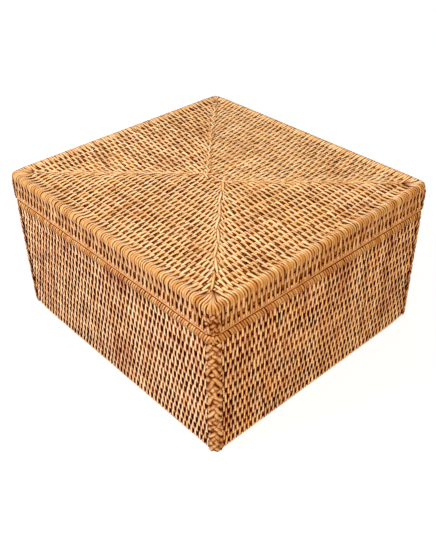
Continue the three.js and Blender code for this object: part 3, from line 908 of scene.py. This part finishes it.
# Lid: strips from the foot of the skirt over the rolled edge to the mitres, and their linings
lid_foot = LID_LOW + 1.6 * MM + FOOT_RADIUS + HALF_THICK
lid_lining_foot = LID_LOW + 2.4 * MM
lid_lining_depth = 6.9 * MM
lid_lining_turn = 3.0 * MM
for side, name in enumerate(SIDES):
    depth = spans(side, "lid")[1]
    weave(f"woven_lid_{name}", TOP_CANE, "lid", side, STRIP_PITCH,
          f"top_panel_{name}", f"edge_roll_{name}", f"skirt_{name}", Rings=132,
          Foot_Height=lid_foot, Foot_Radius=FOOT_RADIUS, Rise=LID_TOP - HALF_THICK - LID_ROLL - lid_foot,
          Turn_Radius=LID_ROLL, Turn=QUARTER, Run=depth, Depth=HALF_THICK, Drop=LID_TOP - FIELD_TOP,
          First_Rod=SKIRT_FIRST - lid_foot, Rod_Pitch=SKIRT_PITCH, Rods=float(SKIRT_RODS),
          Lead=4.6 * MM, Leave=6.5 * MM, Run_Weave=1.0, Run_First=TOP_FIRST - HALF_THICK - LID_ROLL,
          Run_Pitch=TOP_PITCH, Mitre=1.0, Gather=GATHER, Plain=1.04, Widen=0.14, Wander=LID_WANDER,
          Sway=0.9 * MM, Gap_Side=GAP_SIDE[side], Run_Side=NEAR_SIDE[side], Taper=0.22,
          Counter=SKIRT_COUNTER[side], Run_Counter=TOP_COUNTER[side], Shade=TOP_SHADE[side],
          Gold_From=-1.0, Gold_To=LID_TOP - lid_foot, Roll_From=LID_TOP - LID_ROLL - 3.0 * MM - lid_foot,
          Seed=20 + side)
    weave(f"lining_lid_{name}", LINING_CANE, "lid", side, LINING_PITCH, Rings=90, Width=LINING_WIDTH,
          Foot_Height=lid_lining_foot, Foot_Radius=0.4 * MM,
          Rise=PANEL_LOW + 0.4 * MM - lid_lining_turn - lid_lining_foot, Turn_Radius=lid_lining_turn,
          Turn=QUARTER, Run=depth, Depth=lid_lining_depth, Swing=-0.5 * MM,
          First_Rod=SKIRT_FIRST - lid_lining_foot, Rod_Pitch=SKIRT_PITCH, Rods=float(SKIRT_RODS),
          Lead=4.6 * MM, Leave=5.6 * MM, Run_Weave=1.0,
          Run_First=TOP_FIRST - lid_lining_depth - lid_lining_turn, Run_Pitch=TOP_PITCH,
          Mitre=1.0, Slant=0.0, Wander=0.0, Seed=24 + side)

# Lid: its rods, the dark sheet behind the skirt's weave, a dark rod that is painted shadow under the lid's
# edge, and the pale binding
hoop("top_rods", TOP_RODS, "lid", "rattan_rod", TOP_FIRST, Rods=15, Height=FIELD_TOP - ROD_DEPTH,
     Step_In=TOP_PITCH, Corner=2.0 * MM, Radius=ROD_HALF_DEEP, Flat=ROD_HALF_TALL / ROD_HALF_DEEP)
hoop("skirt_rods", RODS, "lid", "rattan_rod", ROD_DEPTH, "skirt_rod_01", "skirt_rod_02", Rods=SKIRT_RODS,
     Height=SKIRT_FIRST, Rise=SKIRT_PITCH, Radius=ROD_HALF_TALL, Flat=ROD_HALF_DEEP / ROD_HALF_TALL,
     Wander=LID_WANDER)
sheet("skirt_sheet", "lid", 4.8 * MM, LID_LOW + 3.0 * MM, LID_TOP - 5.0 * MM, 0.25 * MM)
hoop("edge_rod", EDGE_RODS, "lid", "rattan_rod", 4.5 * MM, "edge_hoop", Height=LID_TOP - 4.5 * MM,
     Radius=3.4 * MM)
hoop("lower_rod", RODS, "lid", "rattan_rod", 2.8 * MM, "lower_hoop", Height=LOWER_ROD, Radius=1.6 * MM)
# Painted shadow: a dark rod under the lid's edge, for the dark line between the lid and the rim
hoop("seam_shadow_rod", SEAM_SHADOW, "lid", "rattan_rod", 1.4 * MM, Height=LID_LOW, Radius=1.3 * MM, Flat=0.5)
hoop("binding", BINDING, "lid", "pale_binding", 0.8 * MM, "lid_binding", Height=LID_LOW + 1.8 * MM,
     Radius=0.8 * MM, Wander=0.6 * MM)

# Lid: leaves along the mitres and the ridge, and a lashing on each corner.
# One mitre has a few leaves end to end, the others many that lie across each other
FEW_LEAVES = (8, 1.25, {"Stray": 1.0 * MM, "Width": 3.2 * MM, "Slew": 0.08})
MANY_LEAVES = (24, 2.7, {"Stray": 0.7 * MM, "Width": 3.1 * MM, "Slew": 0.34})
spine_start = GATHER - 1.0 * MM
mitre_length = (LID_Y - spine_start) * math.sqrt(2)
for corner, name in enumerate(CORNERS):
    count, lap, sizes = FEW_LEAVES if name == "front_right" else MANY_LEAVES
    step = mitre_length / count
    start_x = (LID_X - spine_start) * (1 if "right" in name else -1)
    start_y = (LID_Y - spine_start) * (1 if "back" in name else -1)
    spine = leaves.piece(
        f"spine_{name}", TOP_CANE, Leaves=count, Length=step * lap, Step=step, Start_X=start_x,
        Start_Y=start_y, Height=FIELD_TOP - 0.1 * MM, Side_Angle=math.radians((135 + 90 * corner) % 360),
        Seed=60 + corner, **sizes)
    settle(spine, "lid", "braided_cane", f"mitre_spine_{name}")
    length, depth = spans(corner + 1, "lid")
    lashing = plaits.piece(
        f"lashing_{name}", PLAIT_CANE, Strands=4, Rings=24, Low=LID_LOW + 1.5 * MM, High=LID_TOP - 9.0 * MM,
        Period=40.0 * MM, Swing=6.0 * MM, Width=3.0 * MM, Half_Length=length, Half_Depth=depth,
        Corner=LID_CORNER, Side_Angle=(corner - 1) * QUARTER, Proud=0.4 * MM, Seed=80 + corner)
    settle(lashing, "lid", "braided_cane", f"corner_lashing_{name}")
ridge_lap = 3.0 * MM
ridge = leaves.piece(
    "spine_ridge", PLAIT_CANE, Leaves=1, Length=2 * (LID_X - LID_Y + ridge_lap),
    Start_X=LID_Y - LID_X - ridge_lap, Height=FIELD_TOP - 0.4 * MM, Seed=70)
settle(ridge, "lid", "braided_cane", "ridge_spine")

# Camera at the photograph's place: its angles, its way from the middle of the lid's top as shares of the
# lid's half length, and its lens
AZIMUTH = math.radians(48.1091)
ELEVATION = math.radians(35.7373)
ROLL = math.radians(-1.085)
EYE_BACK = 4.711
EYE_RIGHT = 0.0234
EYE_DOWN = 0.5781
FOCAL_PIXELS = 732.511
IMAGE_PIXELS = 533.0
SENSOR = 36.0
back = Vector((math.sin(AZIMUTH) * math.cos(ELEVATION), -math.cos(AZIMUTH) * math.cos(ELEVATION),
               math.sin(ELEVATION)))
right = Vector((math.cos(AZIMUTH), math.sin(AZIMUTH), 0.0))
up = back.cross(right)
right_rolled = right * math.cos(ROLL) + up * math.sin(ROLL)
up_rolled = up * math.cos(ROLL) - right * math.sin(ROLL)
way = back * EYE_BACK + right_rolled * EYE_RIGHT - up_rolled * EYE_DOWN
eye = Vector((0.0, 0.0, LID_TOP)) + LID_X * way
camera_data = bpy.data.cameras.new("camera")
camera_data.sensor_fit = "VERTICAL"
camera_data.sensor_height = SENSOR
camera_data.lens = FOCAL_PIXELS * SENSOR / IMAGE_PIXELS
camera_data.clip_start = 0.01
camera = bpy.data.objects.new("camera", camera_data)
turn = Matrix((right_rolled, up_rolled, back)).transposed().to_4x4()
camera.matrix_world = Matrix.Translation(eye) @ turn
bpy.context.scene.collection.objects.link(camera)
bpy.context.scene.camera = camera


def lamp(name, place, aim, size, power, tint):
    """A soft square lamp that faces a point."""
    data = bpy.data.lights.new(name, "AREA")
    data.shape = "SQUARE"
    data.size = size
    data.energy = power
    data.color = tint
    lamp_object = bpy.data.objects.new(name, data)
    lamp_object.location = place
    lamp_object.rotation_euler = (Vector(aim) - Vector(place)).to_track_quat("-Z", "Y").to_euler()
    bpy.context.scene.collection.objects.link(lamp_object)


lamp("key", (-0.67, -1.38, 1.2), (0.0, 0.0, 0.1), 0.9, 47.0, (1.0, 0.98, 0.97))
lamp("fill", (1.5, -0.5, 0.9), (0.0, 0.0, 0.08), 1.0, 27.0, (1.0, 0.77, 0.45))

# A sky that is brighter above than below
world = bpy.data.worlds.new("studio")
world.use_nodes = True
sky = Tree(world.node_tree)
upward = sky.parts(sky.add("ShaderNodeTexCoord", output="Generated"))[2]
backdrop = world.node_tree.nodes["Background"]
sky.link((1.0, 0.95, 0.87, 1.0), backdrop.inputs["Color"])
sky.link(0.26 + (upward * 0.8 + 0.4).ease() * 0.2, backdrop.inputs["Strength"])
bpy.context.scene.world = world
bpy.context.scene.view_settings.view_transform = "Standard"

# A floor that glows, so that it looks white round the box, but throws no light on it
FLOOR_HALF = 9.0
floor_mesh = bpy.data.meshes.new("studio_floor")
floor_corners = [(x * FLOOR_HALF, y * FLOOR_HALF, 0.0) for x, y in ((-1, -1), (1, -1), (1, 1), (-1, 1))]
floor_mesh.from_pydata(floor_corners, [], [(0, 1, 2, 3)])
floor = bpy.data.objects.new("studio_floor", floor_mesh)
floor_finish = Finish("studio floor")
floor_finish.set(Base_Color=(0.19, 0.2, 0.23, 1.0), Roughness=0.7, Emission_Color=(1.0, 1.0, 1.0, 1.0),
                 Emission_Strength=0.85)
floor_mesh.materials.append(floor_finish.material)
floor.visible_diffuse = False
floor.visible_glossy = False
bpy.context.scene.collection.objects.link(floor)
